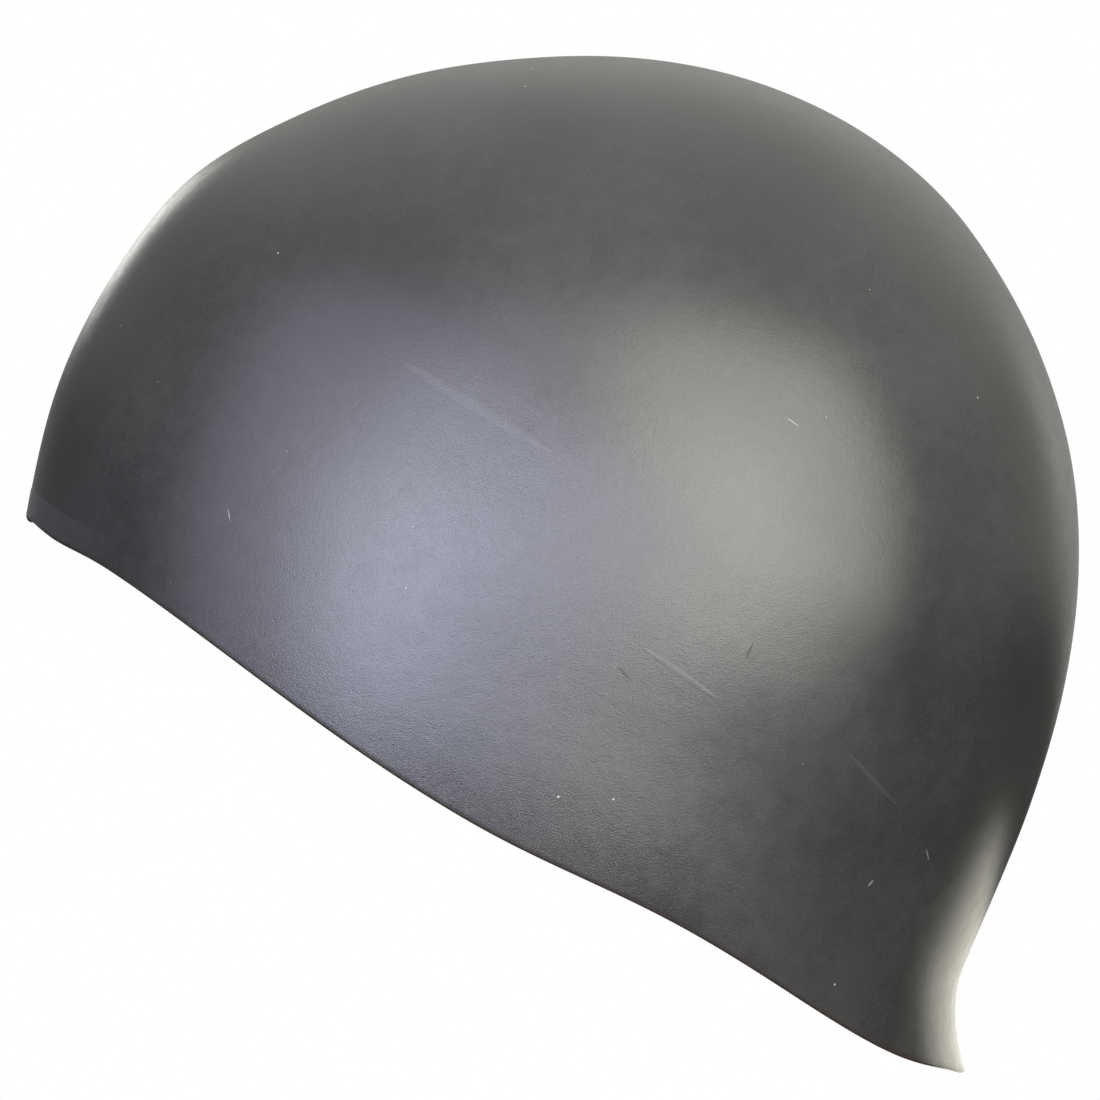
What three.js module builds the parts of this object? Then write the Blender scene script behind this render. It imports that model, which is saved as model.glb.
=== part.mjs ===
// Swim cap: one moulded silicone skin, in the form it has when it is worn.
// Millimetres, +Z up, the wearer faces -X, +X points to the nape and Y runs across the head.
// The origin is on the inside of the crown, where the top of the head bears.
//
// The form is worked out level on its own rim plane, with X from the brow to the nape and Z up to the
// crown, and is then turned so that the rim falls to the nape. Every outline round the cap is a rounded
// egg at one climb, which is 0 degrees at the rim plane and 90 degrees at the crown. An angle round the
// cap is 0 at the middle of the brow and 180 at the middle of the nape.

import * as THREE from "three";

// The outside of the form.
const RIM_FALL = 30.4; // degrees that the rim plane falls from brow to nape
const CROWN_HEIGHT = 143.7; // rim plane to the crown, square to the rim plane
const BROW_REACH = 97; // crown line to the brow edge, along the rim plane
const NAPE_REACH = 102; // crown line to the nape edge, without the nape's flare
const SIDE_REACH = 77.3; // middle of the head to the side, at the widest climb

// The nape's edge turns outwards over the hollow of the neck.
const NAPE_FLARE = 7.8;
const NAPE_FLARE_HEIGHT = 16;
const NAPE_FLARE_FOCUS = 3; // the higher, the closer the flare keeps to the middle of the nape

// The skin, and the thicker strip along its edge at the brow.
const WALL = 1;
const BROW_HEM_WIDTH = 4.4;
const BROW_HEM_STEP = 0.1;
const BROW_HEM_RAMP = 0.5; // width of the step's slope
const BROW_HEM_SPAN = 48; // degrees round each side of the brow until the strip has died out

// The edge waves up and down past the rim plane, and the skin above follows it up to a height.
const WAVE_DEPTH = 3.1; // the lowest that the edge hangs below the rim plane, over the cheek
const WAVE_HEIGHT = 60;

// The outline at each climb. brow, nape and side are shares of the three reaches above, once each has
// been rounded over to the crown like an ellipse. back is how far behind the middle the outline is
// widest, as a share of half its length, and square is the power of its superellipse.
const CLIMB_STEP = 10;
const SECTIONS = [
  { climb: 0, brow: 1.007, nape: 0.998, side: 0.95, back: 0.0, square: 2.2 },
  { climb: 10, brow: 1.101, nape: 0.984, side: 0.995, back: 0.03, square: 2.2 },
  { climb: 20, brow: 1.17, nape: 0.993, side: 1.06, back: 0.08, square: 2.2 },
  { climb: 30, brow: 1.226, nape: 1.01, side: 1.14, back: 0.12, square: 2.18 },
  { climb: 40, brow: 1.228, nape: 1.028, side: 1.205, back: 0.13, square: 2.15 },
  { climb: 50, brow: 1.221, nape: 1.042, side: 1.25, back: 0.12, square: 2.1 },
  { climb: 60, brow: 1.194, nape: 1.04, side: 1.285, back: 0.09, square: 2.05 },
  { climb: 70, brow: 1.183, nape: 1.035, side: 1.305, back: 0.05, square: 2.02 },
  { climb: 80, brow: 1.175, nape: 1.08, side: 1.32, back: 0.02, square: 2 },
  { climb: 90, brow: 1.15, nape: 1.09, side: 1.325, back: 0.0, square: 2 },
];

// The turning points of the edge's wave, from the middle of the brow round to the middle of the nape:
// down is how far the edge hangs below the rim plane, as a share of the wave's depth.
const EDGE_WAVE = [
  { around: 0, down: 0.3 },
  { around: 12, down: -0.2 },
  { around: 27, down: -0.16 },
  { around: 42, down: -0.52 },
  { around: 90, down: 1 },
  { around: 116, down: 0.16 },
  { around: 142, down: 0.77 },
  { around: 164, down: 0.2 },
  { around: 180, down: 0.26 },
];

// Fineness of the faces.
const AROUND = 72;
const CLIMB_RINGS = 20; // rings between the edge strip and the crown
const LIP_ARCS = 3;

const radians = THREE.MathUtils.degToRad;
const degrees = THREE.MathUtils.radToDeg;
const lerp = THREE.MathUtils.lerp;
const clamp = THREE.MathUtils.clamp;

// One column of SECTIONS at any climb, on a curve through the rows that is level at the crown.
function section(column, climb) {
  const last = SECTIONS.length - 1;
  const place = clamp(climb / CLIMB_STEP, -1, last);
  const row = clamp(Math.floor(place), 0, last - 1);
  const share = place - row;
  const value = (i) => SECTIONS[i][column];
  const a = value(row);
  const b = value(row + 1);
  const before = row > 0 ? value(row - 1) : 2 * a - b;
  const after = row + 2 <= last ? value(row + 2) : a;
  const slopeIn = (b - before) / 2;
  const slopeOut = (after - a) / 2;
  if (share < 0) return a + slopeIn * share;
  const s2 = share * share;
  const s3 = s2 * share;
  return (
    (2 * s3 - 3 * s2 + 1) * a +
    (s3 - 2 * s2 + share) * slopeIn +
    (3 * s2 - 2 * s3) * b +
    (s3 - s2) * slopeOut
  );
}

// How far the edge hangs below the rim plane at an angle round from the brow, 0 to 360.
function edgeDrop(around) {
  const side = around > 180 ? 360 - around : around;
  const next = EDGE_WAVE.findIndex((row, i) => i > 0 && row.around >= side);
  const from = EDGE_WAVE[next - 1];
  const to = EDGE_WAVE[next];
  const share = (side - from.around) / (to.around - from.around);
  return WAVE_DEPTH * lerp(from.down, to.down, (1 - Math.cos(Math.PI * share)) / 2);
}

// The height over the rim plane of a point that is so far above the edge.
function heightOf(above, around) {
  const fade = 1 - THREE.MathUtils.smoothstep(above, 0, WAVE_HEIGHT);
  return above - edgeDrop(around) * fade;
}

// A point of the outside, before any hem, at a height over the rim plane and an angle round.
function outsidePoint(height, around) {
  const climb = degrees(Math.asin(clamp(height / CROWN_HEIGHT, -1, 1)));
  const rounding = Math.cos(radians(climb));
  const brow = BROW_REACH * rounding * section("brow", climb);
  const nape = NAPE_REACH * rounding * section("nape", climb);
  const side = SIDE_REACH * rounding * section("side", climb);
  const power = section("square", climb);
  const along = -Math.cos(radians(around));
  const across = Math.sin(radians(around));
  const fill = Math.pow(
    Math.pow(Math.abs(along), power) + Math.pow(Math.abs(across), power),
    -1 / power,
  );
  const halfLength = (brow + nape) / 2;
  const middle = (nape - brow) / 2;
  const shift = section("back", climb) * (fill * across) ** 2;
  const open = Math.max(0, 1 - height / NAPE_FLARE_HEIGHT) ** 2;
  const flare = NAPE_FLARE * open * Math.max(0, along) ** NAPE_FLARE_FOCUS;
  return new THREE.Vector3(
    middle + halfLength * (fill * along + shift) + flare,
    side * fill * across,
    height,
  );
}

// The outward normal there, from two short steps along the surface.
function outsideNormal(height, around) {
  const step = 0.05;
  const lower = outsidePoint(height - step, around);
  const upper = outsidePoint(height + step, around);
  const behind = outsidePoint(height, around - step);
  const ahead = outsidePoint(height, around + step);
  return upper.sub(lower).cross(ahead.sub(behind)).normalize();
}

// How much thicker the skin is at the brow's edge.
function hemStep(above, around) {
  const side = around > 180 ? 360 - around : around;
  const span = 1 - THREE.MathUtils.smoothstep(side, 0, BROW_HEM_SPAN);
  const slope = clamp((BROW_HEM_WIDTH + BROW_HEM_RAMP - above) / BROW_HEM_RAMP, 0, 1);
  return BROW_HEM_STEP * span * slope;
}

// A point in the skin at a depth below its outer face.
function skinPoint(above, around, depth) {
  const height = heightOf(above, around);
  const normal = outsideNormal(height, around);
  return outsidePoint(height, around).addScaledVector(normal, -depth);
}

// The rounded edge: from the outer face at turn 0, round the bottom, to the inner face at turn 180.
function lipPoint(around, turn) {
  const outer = skinPoint(0, around, -hemStep(0, around));
  const inner = skinPoint(0, around, WALL);
  const radius = outer.distanceTo(inner) / 2;
  const down = skinPoint(0, around, 0).sub(skinPoint(1, around, 0)).normalize();
  const share = (1 - Math.cos(radians(turn))) / 2;
  return outer.lerp(inner, share).addScaledVector(down, radius * Math.sin(radians(turn)));
}

// The rings of the skin from the crown down the outside, round the lip and up the inside.
function skinRings() {
  const edgeHeights = [0, BROW_HEM_WIDTH / 2, BROW_HEM_WIDTH, BROW_HEM_WIDTH + BROW_HEM_RAMP];
  const start = degrees(Math.asin((2 * BROW_HEM_WIDTH) / CROWN_HEIGHT));
  const wallHeights = Array.from({ length: CLIMB_RINGS }, (_, i) => {
    const climb = lerp(start, 90, i / CLIMB_RINGS);
    return CROWN_HEIGHT * Math.sin(radians(climb));
  });
  const heights = [...edgeHeights, ...wallHeights];
  const outside = heights.map((above) => (around) => skinPoint(above, around, -hemStep(above, around)));
  const inside = heights.map((above) => (around) => skinPoint(above, around, WALL));
  const lip = Array.from({ length: LIP_ARCS }, (_, i) => {
    const turn = (180 * (i + 1)) / (LIP_ARCS + 1);
    return (around) => lipPoint(around, turn);
  });
  return [...outside.reverse(), ...lip, ...inside];
}

// A closed surface from rings of points, with a single point at each end.
function closeRings(rings, firstPoint, lastPoint) {
  const points = [firstPoint];
  for (const ring of rings) {
    for (let i = 0; i < AROUND; i++) points.push(ring((360 * i) / AROUND));
  }
  points.push(lastPoint);
  const lastIndex = points.length - 1;
  const at = (ring, i) => 1 + ring * AROUND + (i % AROUND);
  const faces = [];
  for (let i = 0; i < AROUND; i++) {
    faces.push(0, at(0, i + 1), at(0, i));
    for (let ring = 0; ring < rings.length - 1; ring++) {
      const [a, b] = [at(ring, i), at(ring, i + 1)];
      const [c, d] = [at(ring + 1, i), at(ring + 1, i + 1)];
      faces.push(a, b, c, b, d, c);
    }
    const end = rings.length - 1;
    faces.push(lastIndex, at(end, i), at(end, i + 1));
  }
  const geometry = new THREE.BufferGeometry().setFromPoints(points);
  geometry.setIndex(faces);
  geometry.computeVertexNormals();
  return geometry;
}

// The highest point of the inside once the cap hangs level, where the head bears.
function headSeat() {
  const steps = 2000;
  const level = new THREE.Vector3(0, 1, 0);
  let best = null;
  for (let i = 1; i < steps; i++) {
    const height = (CROWN_HEIGHT * i) / steps;
    const point = skinPoint(height, 0, WALL).applyAxisAngle(level, radians(RIM_FALL));
    if (!best || point.z > best.z) best = point;
  }
  return best;
}

function capShell() {
  const crown = new THREE.Vector3(0, 0, CROWN_HEIGHT);
  const crownInside = new THREE.Vector3(0, 0, CROWN_HEIGHT - WALL);
  const geometry = closeRings(skinRings(), crown, crownInside);
  const silicone = new THREE.MeshStandardMaterial({
    name: "silicone",
    color: 0x4b4b4d,
    roughness: 0.48,
    metalness: 0.1,
  });
  const mesh = new THREE.Mesh(geometry, silicone);
  mesh.name = "cap_shell";
  mesh.rotation.y = radians(RIM_FALL);
  mesh.position.copy(headSeat()).negate();
  return mesh;
}

const swimCap = new THREE.Group();
swimCap.add(capShell());

export default swimCap;
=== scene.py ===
import math

import bpy
import numpy as np
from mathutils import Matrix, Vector


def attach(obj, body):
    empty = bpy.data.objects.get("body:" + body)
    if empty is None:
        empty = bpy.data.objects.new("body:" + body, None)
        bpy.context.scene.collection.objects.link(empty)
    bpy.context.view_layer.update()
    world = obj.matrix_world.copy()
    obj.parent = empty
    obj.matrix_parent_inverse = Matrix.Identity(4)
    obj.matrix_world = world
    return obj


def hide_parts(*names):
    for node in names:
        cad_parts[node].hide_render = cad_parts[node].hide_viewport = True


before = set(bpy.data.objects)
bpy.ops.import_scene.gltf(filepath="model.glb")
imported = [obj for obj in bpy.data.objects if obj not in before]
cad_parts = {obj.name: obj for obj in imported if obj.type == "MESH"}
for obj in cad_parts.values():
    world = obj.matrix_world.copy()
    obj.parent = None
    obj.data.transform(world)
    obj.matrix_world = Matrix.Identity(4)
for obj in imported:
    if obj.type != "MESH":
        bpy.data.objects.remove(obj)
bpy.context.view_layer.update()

MM = 0.001

# The form, in millimetres and degrees, as in the part's source.
RIM_FALL = 30.4
CROWN_HEIGHT = 143.7
BROW_REACH = 97
NAPE_REACH = 102
SIDE_REACH = 77.3
NAPE_FLARE = 7.8
NAPE_FLARE_HEIGHT = 16
NAPE_FLARE_FOCUS = 3
WALL = 1
BROW_HEM_WIDTH = 4.4
BROW_HEM_STEP = 0.1
BROW_HEM_RAMP = 0.5
BROW_HEM_SPAN = 48
WAVE_DEPTH = 3.1
WAVE_HEIGHT = 60
CLIMB_STEP = 10
COLUMNS = ("brow", "nape", "side", "back", "square")
SECTIONS = (
    (1.007, 0.998, 0.95, 0.0, 2.2),
    (1.101, 0.984, 0.995, 0.03, 2.2),
    (1.17, 0.993, 1.06, 0.08, 2.2),
    (1.226, 1.01, 1.14, 0.12, 2.18),
    (1.228, 1.028, 1.205, 0.13, 2.15),
    (1.221, 1.042, 1.25, 0.12, 2.1),
    (1.194, 1.04, 1.285, 0.09, 2.05),
    (1.183, 1.035, 1.305, 0.05, 2.02),
    (1.175, 1.08, 1.32, 0.02, 2.0),
    (1.15, 1.09, 1.325, 0.0, 2.0),
)
EDGE_WAVE = (
    (0, 0.3),
    (12, -0.2),
    (27, -0.16),
    (42, -0.52),
    (90, 1.0),
    (116, 0.16),
    (142, 0.77),
    (164, 0.2),
    (180, 0.26),
)

# Fineness of the shown mesh.
AROUND = 360
OUTSIDE_RINGS = 120
INSIDE_RINGS = 56
EDGE_RINGS = 14
LIP_ARCS = 7

# Colours, in linear light.
DARK_GREY = (0.0165, 0.0162, 0.0160, 1)
LIGHT_GREY = (0.0290, 0.0286, 0.0284, 1)
STRIP_GREY = (0.050, 0.050, 0.053, 1)
# The dark brownish tone of the painted shade along the lip.
LIP_SHADE_BROWN = (0.026, 0.019, 0.015, 1)
MARK_BLACK = (0.006, 0.006, 0.006, 1)
DUST_WHITE = (0.45, 0.45, 0.43, 1)
FLOOR_GREY = (0.06, 0.06, 0.06, 1)
SKY_WARM = (1, 0.98, 0.93, 1)
PURE_WHITE = (1, 1, 1, 1)

# The silicone's surface, in millimetres: how wide each unevenness is, and how deep.
CLOUD_SIZE = 45
MOTTLE_SIZE = 4
GRAIN_SIZE = 0.22
MOTTLE_DEPTH = 0.035
GRAIN_DEPTH = 0.036
RIDGE_DEPTH = 0.012
# How far up from the cut edge the painted shade of the lip reaches.
LIP_SHADE_WIDTH = 0.35

# How much each layer sways the tone, the part of the tone that runs from dark to light, and the part of
# a noise that is put to use.
CLOUD_TONE = 0.46
MOTTLE_TONE = 0.14
GRAIN_TONE = 0.4
# The polish strokes' share is painted glint: pale and dark strokes in rings round where the highlights
# fall.
GLINT_STROKE_TONE = 0.15
TONE_BAND = (0.38, 0.62)
NOISE_BAND = (0.3, 0.7)

# The gloss: the roughness that the clouds give, and what the other layers and the marks add to it.
CLOUD_ROUGHNESS = (0.20, 0.22)
MOTTLE_ROUGHNESS = 0.05
STROKE_ROUGHNESS = 0.05
MARK_ROUGHNESS = 0.3
SILICONE_IOR = 1.45
SILICONE_SPECULAR = 0.62

# How strongly each kind of mark covers the colour under it.
# How strongly the painted shade of the lip covers the colour under it.
LIP_SHADE_COVER = 0.8
DARK_DASH_COVER = 0.6
RIDGE_COVER = 0.02
LINT_COVER = 0.35
DUST_COVER = 0.6

# Dust: the pitch of its specks and of the patches that hold them, and the specks' sizes as shares of
# the pitch.
DUST_PITCH = 5
DUST_PATCH = 11
DUST_SHARE = 0.55
DUST_SMALLEST = 0.012
DUST_LARGEST = 0.040


def smoothstep(x, low, high):
    t = np.clip((x - low) / (high - low), 0, 1)
    return t * t * (3 - 2 * t)


def section(column, climb):
    values = np.array([row[COLUMNS.index(column)] for row in SECTIONS])
    last = len(values) - 1
    place = np.clip(climb / CLIMB_STEP, -1, last)
    row = np.clip(np.floor(place), 0, last - 1).astype(int)
    s = place - row
    a = values[row]
    b = values[row + 1]
    before = np.where(row > 0, values[np.maximum(row - 1, 0)], 2 * a - b)
    after = np.where(row + 2 <= last, values[np.minimum(row + 2, last)], a)
    slope_in = (b - before) / 2
    slope_out = (after - a) / 2
    s2 = s * s
    s3 = s2 * s
    curve = (
        (2 * s3 - 3 * s2 + 1) * a
        + (s3 - 2 * s2 + s) * slope_in
        + (3 * s2 - 2 * s3) * b
        + (s3 - s2) * slope_out
    )
    return np.where(s < 0, a + slope_in * s, curve)


def edge_drop(around):
    side = np.where(around > 180, 360 - around, around)
    drop = np.zeros_like(side)
    for (a0, d0), (a1, d1) in zip(EDGE_WAVE, EDGE_WAVE[1:]):
        inside = (side >= a0) & (side <= a1)
        share = (1 - np.cos(np.pi * (side - a0) / (a1 - a0))) / 2
        drop = np.where(inside, WAVE_DEPTH * (d0 + (d1 - d0) * share), drop)
    return drop


def height_of(above, around):
    return above - edge_drop(around) * (1 - smoothstep(above, 0, WAVE_HEIGHT))


def outside_point(height, around):
    climb = np.degrees(np.arcsin(np.clip(height / CROWN_HEIGHT, -1, 1)))
    rounding = np.cos(np.radians(climb))
    brow = BROW_REACH * rounding * section("brow", climb)
    nape = NAPE_REACH * rounding * section("nape", climb)
    side = SIDE_REACH * rounding * section("side", climb)
    power = section("square", climb)
    along = -np.cos(np.radians(around))
    across = np.sin(np.radians(around))
    fill = (np.abs(along) ** power + np.abs(across) ** power) ** (-1 / power)
    shift = section("back", climb) * (fill * across) ** 2
    flare = (
        NAPE_FLARE
        * np.maximum(0, 1 - height / NAPE_FLARE_HEIGHT) ** 2
        * np.maximum(0, along) ** NAPE_FLARE_FOCUS
    )
    x = (nape - brow) / 2 + (brow + nape) / 2 * (fill * along + shift) + flare
    return np.stack([x, side * fill * across, height + 0 * x], axis=-1)


def unit(v):
    return v / np.linalg.norm(v, axis=-1, keepdims=True)


def outside_normal(height, around):
    step = 0.05
    rise = outside_point(height + step, around) - outside_point(height - step, around)
    turn = outside_point(height, around + step) - outside_point(height, around - step)
    return unit(np.cross(rise, turn))


def hem_step(above, around):
    side = np.where(around > 180, 360 - around, around)
    span = 1 - smoothstep(side, 0, BROW_HEM_SPAN)
    slope = smoothstep(BROW_HEM_WIDTH + BROW_HEM_RAMP - above, 0, BROW_HEM_RAMP)
    return BROW_HEM_STEP * span * slope


def skin_point(above, around, depth):
    height = height_of(above, around)
    return outside_point(height, around) - outside_normal(height, around) * np.expand_dims(depth, -1)


def edge_heights(rings):
    """How far above the edge each ring lies, close together by the edge and then up to the crown."""
    hem = BROW_HEM_WIDTH + BROW_HEM_RAMP
    strip = np.linspace(0, BROW_HEM_WIDTH, EDGE_RINGS // 2)
    ramp = np.linspace(BROW_HEM_WIDTH, hem, EDGE_RINGS // 2)[1:]
    start = math.degrees(math.asin((hem + 1) / CROWN_HEIGHT))
    climbs = start + (90 - start) * np.arange(rings) / rings
    return np.concatenate([strip, ramp, CROWN_HEIGHT * np.sin(np.radians(climbs))])


def skin_rings(around):
    """The rings of the skin from the crown down the outside, round the lip and up the inside."""
    full = np.zeros_like(around)
    outside = edge_heights(OUTSIDE_RINGS)[::-1]
    rings = [skin_point(full + h, around, -hem_step(full + h, around)) for h in outside]
    outer = skin_point(full, around, -hem_step(full, around))
    inner = skin_point(full, around, full + WALL)
    radius = np.linalg.norm(outer - inner, axis=-1, keepdims=True) / 2
    down = unit(skin_point(full, around, full) - skin_point(full + 1, around, full))
    for i in range(1, LIP_ARCS + 1):
        turn = math.pi * i / (LIP_ARCS + 1)
        share = (1 - math.cos(turn)) / 2
        rings.append(outer + (inner - outer) * share + down * radius * math.sin(turn))
    rings += [skin_point(full + h, around, full + WALL) for h in edge_heights(INSIDE_RINGS)]
    return rings


def turned(points):
    a = math.radians(RIM_FALL)
    x, y, z = points[..., 0], points[..., 1], points[..., 2]
    return np.stack([x * math.cos(a) + z * math.sin(a), y, z * math.cos(a) - x * math.sin(a)], axis=-1)


def build_skin():
    around = np.arange(AROUND) * 360 / AROUND
    rings = skin_rings(around)
    points = np.concatenate([[[0, 0, CROWN_HEIGHT]]] + rings + [[[0, 0, CROWN_HEIGHT - WALL]]])
    points = turned(points)
    seat = max(
        turned(skin_point(np.linspace(0.1, CROWN_HEIGHT - 0.1, 2000), np.zeros(2000), np.full(2000, WALL))),
        key=lambda p: p[2],
    )
    points = (points - seat) * MM
    last = len(points) - 1
    faces = []
    for i in range(AROUND):
        j = (i + 1) % AROUND
        faces.append((0, 1 + j, 1 + i))
        for r in range(len(rings) - 1):
            a, c = 1 + r * AROUND, 1 + (r + 1) * AROUND
            faces.append((a + i, a + j, c + j, c + i))
        end = 1 + (len(rings) - 1) * AROUND
        faces.append((last, end + i, end + j))
    mesh = bpy.data.meshes.new("cap_skin")
    mesh.from_pydata(points.tolist(), [], faces)
    mesh.shade_smooth()
    outside = edge_heights(OUTSIDE_RINGS)[::-1]
    inside = edge_heights(INSIDE_RINGS)
    above = np.repeat(np.concatenate([outside, np.zeros(LIP_ARCS), inside]), AROUND)
    above = np.concatenate([[CROWN_HEIGHT], above, [CROWN_HEIGHT]])
    side = np.minimum(around, 360 - around)
    span = 1 - smoothstep(side, 0, BROW_HEM_SPAN)
    strip = 1 - smoothstep(outside, BROW_HEM_WIDTH, BROW_HEM_WIDTH + BROW_HEM_RAMP)
    painted = np.zeros(len(points))
    painted[1:1 + len(outside) * AROUND] = np.outer(strip, span).ravel()
    for name, values in (("above_edge", above), ("brow_strip", painted)):
        mesh.attributes.new(name, "FLOAT", "POINT").data.foreach_set("value", values)
    skin = bpy.data.objects.new("cap_skin", mesh)
    bpy.context.collection.objects.link(skin)
    return skin


class Nodes:
    """Short calls for building one node tree."""

    def __init__(self, tree):
        self.tree = tree
        tree.nodes.clear()

    def add(self, kind, **fields):
        node = self.tree.nodes.new(kind)
        inputs = fields.pop("inputs", {})
        for name, value in fields.items():
            setattr(node, name, value)
        for name, value in inputs.items():
            if isinstance(value, bpy.types.NodeSocket):
                self.tree.links.new(value, node.inputs[name])
            else:
                node.inputs[name].default_value = value
        return node

    def math(self, operation, a, b=0.0, c=0.0, clamp=False):
        inputs = {0: a, 1: b, 2: c}
        node = self.add("ShaderNodeMath", operation=operation, use_clamp=clamp, inputs=inputs)
        return node.outputs[0]

    def vector(self, operation, inputs):
        return self.add("ShaderNodeVectorMath", operation=operation, inputs=inputs).outputs[0]

    def parts(self, vector):
        """The X, Y and Z of a vector."""
        return self.add("ShaderNodeSeparateXYZ", inputs={0: vector}).outputs

    def noise(self, vector, size, detail, roughness=0.5):
        inputs = {"Vector": vector, "Scale": 1 / size, "Detail": detail, "Roughness": roughness}
        return self.add("ShaderNodeTexNoise", inputs=inputs).outputs["Fac"]

    def remap(self, value, low, high, to_low=0.0, to_high=1.0, smooth=True):
        kind = "SMOOTHSTEP" if smooth else "LINEAR"
        inputs = {"Value": value, "From Min": low, "From Max": high, "To Min": to_low, "To Max": to_high}
        return self.add("ShaderNodeMapRange", interpolation_type=kind, inputs=inputs).outputs["Result"]

    def mixed(self, share, first, second):
        """The first colour, gone over to the second by a share."""
        node = self.add("ShaderNodeMix", data_type="RGBA", inputs={0: share, 6: first, 7: second})
        return node.outputs[2]

    def distance(self, vector, centre):
        node = self.add("ShaderNodeVectorMath", operation="DISTANCE", inputs={0: vector, 1: centre})
        return node.outputs["Value"]


# Marks on the wearer's left side, in millimetres in the side view: from x, z to x, z, with how wide each
# is and what it is.
MARKS = (
    ("ridge", -32.8, -60.1, -6.3, -76.3, 2.6),
    ("ridge", 9.5, -110.5, 22.0, -119.2, 1.3),
    ("ridge", 45.8, -129.3, 55.0, -139.0, 1.1),
    ("dark_dash", -4.6, -32.8, -2.2, -33.8, 0.7),
    ("dark_dash", 5.0, -113.8, 7.2, -116.0, 0.7),
    ("dark_dash", 27.2, -112.4, 28.6, -109.6, 0.6),
    ("dark_dash", 39.8, -165.4, 43.4, -167.2, 1.1),
    ("lint", -63.8, -86.0, -63.3, -88.4, 0.20),
    ("lint", 60.8, -147.2, 61.4, -149.2, 0.22),
    ("lint", 34.6, -70.4, 36.6, -71.8, 0.20),
    ("lint", 50.0, -153.4, 50.9, -152.4, 0.40),
)

# Fine scratches from polishing the mould, laid as rings round where the highlights fall, on both sides
# alike, so that their tone is painted glint:
# x, depth and z of the middle, the ring's inner and outer radius, and the spacing and length of its
# strokes, in millimetres.
SCRATCH_GLINT_RINGS = (
    (26, 76, -82, 8, 38, 1.0, 8),
    (-27, 70, -98, 24, 50, 0.6, 7),
)


def flattened(n, place):
    """The point as the side view shows it, without its depth."""
    return n.vector("MULTIPLY", {0: place, 1: (1, 0, 1)})


def line_mask(n, seen, start, end, width):
    """1 on the line between two points of the side view, dying out to its sides and towards its ends."""
    a = Vector((start[0], 0, start[1])) * MM
    b = Vector((end[0], 0, end[1])) * MM
    length = (b - a).length
    steepness = 2 * length / (width * MM) ** 2
    detour = n.math("ADD", n.distance(seen, a), n.distance(seen, b))
    return n.math("MULTIPLY_ADD", detour, -steepness, 1 + length * steepness, clamp=True)


def marked(n, place, kind):
    """All the marks of one kind, on the wearer's left side only."""
    seen = flattened(n, place)
    total = 0.0
    for name, x0, z0, x1, z1, width in MARKS:
        if name == kind:
            total = n.math("MAXIMUM", total, line_mask(n, seen, (x0, z0), (x1, z1), width))
    return n.math("MULTIPLY", total, n.math("LESS_THAN", n.parts(place)["Y"], 0.0))


def scratch_glints(n, place):
    """Broken scratch strokes that run round the middle of the nearer ring, as painted glints round the
    highlight.
    """
    part = n.parts(place)
    depth = n.parts(n.vector("ABSOLUTE", {0: place}))["Y"]
    inputs = {"X": part["X"], "Y": depth, "Z": part["Z"]}
    place = n.add("ShaderNodeCombineXYZ", inputs=inputs).outputs[0]
    strength = None
    for x, y, z, inner, outer, spacing, stroke in SCRATCH_GLINT_RINGS:
        centre = Vector((x, y, z)) * MM
        part = n.parts(n.vector("SUBTRACT", {0: place, 1: centre}))
        radius = n.distance(place, centre)
        turn = n.math("ARCTAN2", part["Z"], part["X"])
        across = n.math("DIVIDE", radius, spacing * MM)
        along = n.math("MULTIPLY", turn, (inner + outer) / 2 / stroke)
        inputs = {"X": across, "Y": along, "Z": float(x)}
        polar = n.add("ShaderNodeCombineXYZ", inputs=inputs).outputs[0]
        start = n.remap(radius, 0.5 * inner * MM, inner * MM)
        stop = n.remap(radius, 0.6 * outer * MM, outer * MM, 1.0, 0.0)
        ring = n.math("MULTIPLY", start, stop)
        if strength is None:
            strength, nearest = ring, polar
        else:
            nearer = n.math("GREATER_THAN", ring, strength)
            nearest = n.mixed(nearer, nearest, polar)
            strength = n.math("MAXIMUM", ring, strength)
    strokes = n.math("SUBTRACT", n.noise(nearest, 1.0, 1, 0.6), 0.5)
    return n.math("MULTIPLY", strokes, strength)


def dust(n, place):
    """Small pale specks of uneven size, thin on the ground."""
    inputs = {"Vector": place, "Scale": 1 / (DUST_PITCH * MM), "Randomness": 1.0}
    cells = n.add("ShaderNodeTexVoronoi", inputs=inputs)
    chosen = n.math("GREATER_THAN", n.noise(place, DUST_PATCH * MM, 1), DUST_SHARE)
    size = n.remap(n.parts(cells.outputs["Color"])["X"], 0.0, 1.0, DUST_SMALLEST, DUST_LARGEST)
    return n.math("MULTIPLY", n.math("LESS_THAN", cells.outputs["Distance"], size), chosen)


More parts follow.
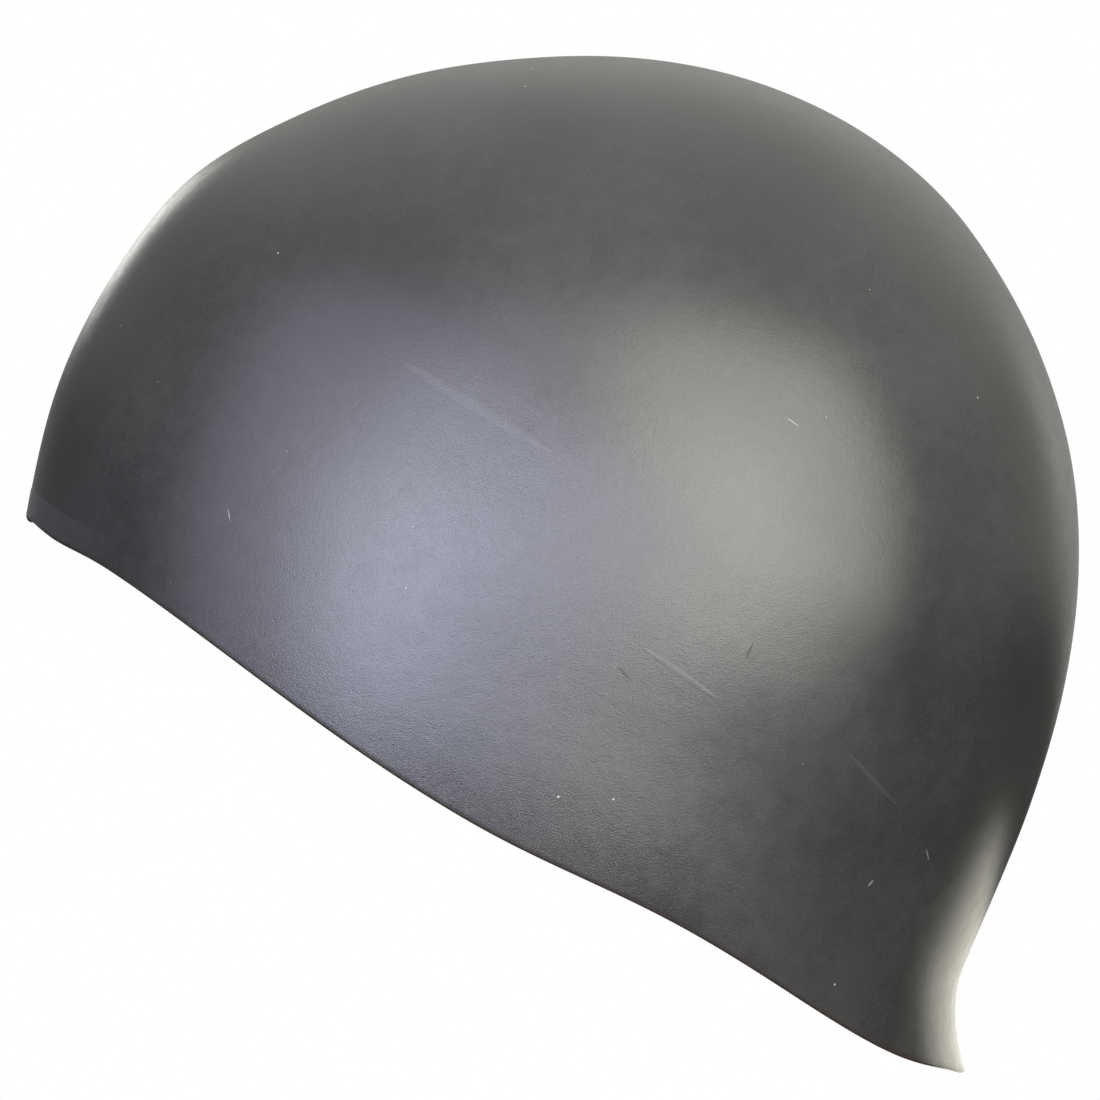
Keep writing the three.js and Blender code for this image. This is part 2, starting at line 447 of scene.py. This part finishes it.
def silicone():
    material = bpy.data.materials.new("silicone_satin")
    material.use_nodes = True
    n = Nodes(material.node_tree)
    place = n.add("ShaderNodeTexCoord").outputs["Object"]

    # The tone: broad clouds from handling and powder, mottling, fine grain and the polish strokes, whose
    # tone is painted glint in rings round the highlights.
    cloud = n.noise(place, CLOUD_SIZE * MM, 1)
    mottle = n.noise(place, MOTTLE_SIZE * MM, 2, 0.6)
    grain = n.noise(place, GRAIN_SIZE * MM, 1, 0.7)
    strokes = scratch_glints(n, place)
    layers = ((cloud, CLOUD_TONE), (mottle, MOTTLE_TONE), (grain, GRAIN_TONE), (strokes, GLINT_STROKE_TONE))
    tone = 0.0
    for layer, share in layers:
        tone = n.math("ADD", tone, n.math("MULTIPLY", layer, share))
    colour = n.mixed(n.remap(tone, *TONE_BAND), DARK_GREY, LIGHT_GREY)

    # The strip along the brow is paler, and a painted shade of the lip, dark and brownish, lies along the
    # cut edge all round.
    above = n.add("ShaderNodeAttribute", attribute_name="above_edge").outputs["Fac"]
    strip = n.add("ShaderNodeAttribute", attribute_name="brow_strip").outputs["Fac"]
    colour = n.mixed(strip, colour, STRIP_GREY)
    colour = n.mixed(n.remap(above, 0.0, LIP_SHADE_WIDTH, LIP_SHADE_COVER, 0.0), colour, LIP_SHADE_BROWN)

    dark_dashes = marked(n, place, "dark_dash")
    ridges = marked(n, place, "ridge")
    lint = n.math("MULTIPLY", marked(n, place, "lint"), LINT_COVER)
    specks = n.math("MULTIPLY", dust(n, place), DUST_COVER)
    # Short dark dashes, darker and duller than the silicone round them.
    colour = n.mixed(n.math("MULTIPLY", dark_dashes, DARK_DASH_COVER), colour, MARK_BLACK)
    colour = n.mixed(n.math("MULTIPLY", ridges, RIDGE_COVER), colour, DUST_WHITE)
    colour = n.mixed(n.math("MAXIMUM", lint, specks), colour, DUST_WHITE)

    # The gloss: duller where the surface is marked or dusty.
    clouded = n.remap(cloud, *NOISE_BAND, *CLOUD_ROUGHNESS)
    rough = n.math("ADD", clouded, n.remap(mottle, *NOISE_BAND, 0.0, MOTTLE_ROUGHNESS))
    rough = n.math("ADD", rough, n.math("MULTIPLY", strokes, STROKE_ROUGHNESS))
    marks = n.math("MULTIPLY", n.math("ADD", dark_dashes, specks), MARK_ROUGHNESS)
    rough = n.math("ADD", rough, marks, clamp=True)

    # The fine relief.
    height = 0.0
    for layer, depth in ((grain, GRAIN_DEPTH), (mottle, MOTTLE_DEPTH), (ridges, RIDGE_DEPTH)):
        height = n.math("ADD", height, n.math("MULTIPLY", layer, depth * MM))
    bump = n.add("ShaderNodeBump", inputs={"Strength": 1.0, "Distance": 1.0, "Height": height})

    shader = n.add(
        "ShaderNodeBsdfPrincipled",
        inputs={
            "Base Color": colour,
            "Roughness": rough,
            "IOR": SILICONE_IOR,
            "Specular IOR Level": SILICONE_SPECULAR,
            "Normal": bump.outputs["Normal"],
        },
    )
    n.add("ShaderNodeOutputMaterial", inputs={"Surface": shader.outputs["BSDF"]})
    return material


def seen_by_camera(n, to_camera, to_light):
    """A shader that is one thing to the camera and another to light."""
    path = n.add("ShaderNodeLightPath")
    mix = n.add("ShaderNodeMixShader", inputs={0: path.outputs["Is Camera Ray"], 1: to_light, 2: to_camera})
    return mix.outputs[0]


def pale_floor():
    """Well below the cap: white to the camera and dim to the object, like the surroundings."""
    half = 4.0
    z = -0.50
    corners = [(-half, -half, z), (half, -half, z), (half, half, z), (-half, half, z)]
    mesh = bpy.data.meshes.new("studio_floor")
    mesh.from_pydata(corners, [], [(0, 1, 2, 3)])
    floor = bpy.data.objects.new("studio_floor", mesh)
    bpy.context.collection.objects.link(floor)
    material = bpy.data.materials.new("floor_pale")
    material.use_nodes = True
    n = Nodes(material.node_tree)
    glow = n.add("ShaderNodeEmission", inputs={"Strength": 1.0}).outputs[0]
    matt = n.add("ShaderNodeBsdfDiffuse", inputs={"Color": FLOOR_GREY}).outputs[0]
    n.add("ShaderNodeOutputMaterial", inputs={"Surface": seen_by_camera(n, glow, matt)})
    mesh.materials.append(material)


# The dim surroundings: their strength, how they brighten from the brow's side to the nape's, and how much
# brighter they get overhead. Directions are shares along X and Z.
AMBIENT = 0.76
BROW_TO_NAPE = (-0.9, 0.4)
SIDE_LEVELS = (0.08, 0.66)
LEVEL_TO_OVERHEAD = (0.2, 0.95)
OVERHEAD_LEVEL = 1.1


def studio_world():
    """White to the camera. To the object it is dim, darker towards the brow and brighter overhead."""
    world = bpy.data.worlds.new("studio_world")
    world.use_nodes = True
    n = Nodes(world.node_tree)
    way = n.parts(n.add("ShaderNodeTexCoord").outputs["Generated"])
    level = n.remap(way["X"], *BROW_TO_NAPE, *SIDE_LEVELS)
    overhead = n.math("MULTIPLY", n.remap(way["Z"], *LEVEL_TO_OVERHEAD, smooth=False), OVERHEAD_LEVEL)
    level = n.math("MULTIPLY", n.math("ADD", level, overhead), AMBIENT)
    white = n.add("ShaderNodeBackground", inputs={"Color": PURE_WHITE, "Strength": 1.0}).outputs[0]
    dim = n.add("ShaderNodeBackground", inputs={"Color": SKY_WARM, "Strength": level}).outputs[0]
    n.add("ShaderNodeOutputWorld", inputs={"Surface": seen_by_camera(n, white, dim)})
    bpy.context.scene.world = world


# The studio's lights, seen from what they aim at: turn is measured from the camera's side towards +X and
# rise above the horizon, in degrees; reach, width and height are in metres.
CAP_MIDDLE = Vector((-0.007, 0.0, -0.090))
NAPE_TIP = Vector((0.074, 0.0, -0.185))
LIGHTS = (
    # name, turn, rise, reach, width, height, soft share of its edges, watts, colour
    ("left_window", -35, 18, 1.3, 1.50, 1.40, 0.3, 17.5, (0.76, 0.74, 1.0)),
    ("left_core", -16, -2, 1.3, 0.90, 0.60, 0.40, 15, (0.75, 0.77, 1.0)),
    ("left_upper", -27, 14, 1.3, 0.65, 0.65, 0.6, 7, (0.79, 0.86, 1.0)),
    ("low_middle", 17, -12, 1.3, 0.95, 0.50, 0.6, 5.5, (0.97, 0.97, 1.0)),
    ("right_window", 24, 5, 1.3, 1.38, 2.25, 0.35, 51, (1.0, 1.0, 0.89)),
    ("right_core", 14, 8, 1.3, 0.78, 0.80, 0.8, 7, (1.0, 1.0, 0.92)),
    ("left_rim", -157, 18, 1.2, 0.24, 0.36, 0.6, 1.0, (1.0, 1.0, 0.95)),
    ("right_rim", 138, 10, 1.2, 0.50, 0.60, 0.8, 0.5, (0.97, 1.0, 0.94)),
)
NAPE_LIGHTS = (
    ("nape_near", 150, -18, 0.06, 0.13, 0.07, 0.4, 0.048, (1.0, 0.98, 0.84)),
)


def softbox(aim, name, turn, rise, reach, width, height, soft, power, colour):
    t, e = math.radians(turn), math.radians(rise)
    way = Vector((math.sin(t) * math.cos(e), -math.cos(t) * math.cos(e), math.sin(e)))
    light = bpy.data.lights.new(name, "AREA")
    light.shape = "RECTANGLE"
    light.size = width
    light.size_y = height
    light.energy = power
    light.color = colour
    light.use_nodes = True
    n = Nodes(light.node_tree)
    across = n.add("ShaderNodeNewGeometry").outputs["Parametric"]
    centred = n.vector("MULTIPLY_ADD", {0: across, 1: (2, 2, 2), 2: (-1, -1, -1)})
    off = n.parts(n.vector("ABSOLUTE", {0: centred}))
    fall_x = n.remap(off["X"], 1 - soft, 1.0, 1.0, 0.0)
    fall_y = n.remap(off["Y"], 1 - soft, 1.0, 1.0, 0.0)
    glow = n.math("MULTIPLY", fall_x, fall_y)
    emission = n.add("ShaderNodeEmission", inputs={"Strength": glow}).outputs[0]
    n.add("ShaderNodeOutputLight", inputs={"Surface": emission})
    lamp = bpy.data.objects.new(name, light)
    lamp.location = aim + way * reach
    lamp.rotation_mode = "QUATERNION"
    lamp.rotation_quaternion = way.to_track_quat("Z", "Y")
    bpy.context.collection.objects.link(lamp)
    lamp.visible_camera = False


def photo_camera():
    """Level, square to the wearer's left side. Metres, but millimetres for the sensor and the lens."""
    distance = 0.8
    frame_width = 0.2113
    frame_middle = (-0.00682, -0.09342)
    camera = bpy.data.cameras.new("photo_camera")
    camera.sensor_width = 36
    camera.lens = camera.sensor_width * distance / frame_width
    camera.dof.use_dof = False
    eye = bpy.data.objects.new("photo_camera", camera)
    eye.location = (frame_middle[0], -distance, frame_middle[1])
    eye.rotation_euler = (math.pi / 2, 0, 0)
    bpy.context.collection.objects.link(eye)
    bpy.context.scene.camera = eye


skin = build_skin()
skin.data.materials.append(silicone())
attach(skin, "root")
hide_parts("cap_shell")

pale_floor()
studio_world()
for row in LIGHTS:
    softbox(CAP_MIDDLE, *row)
for row in NAPE_LIGHTS:
    softbox(NAPE_TIP, *row)
photo_camera()
bpy.context.scene.view_settings.view_transform = "Standard"
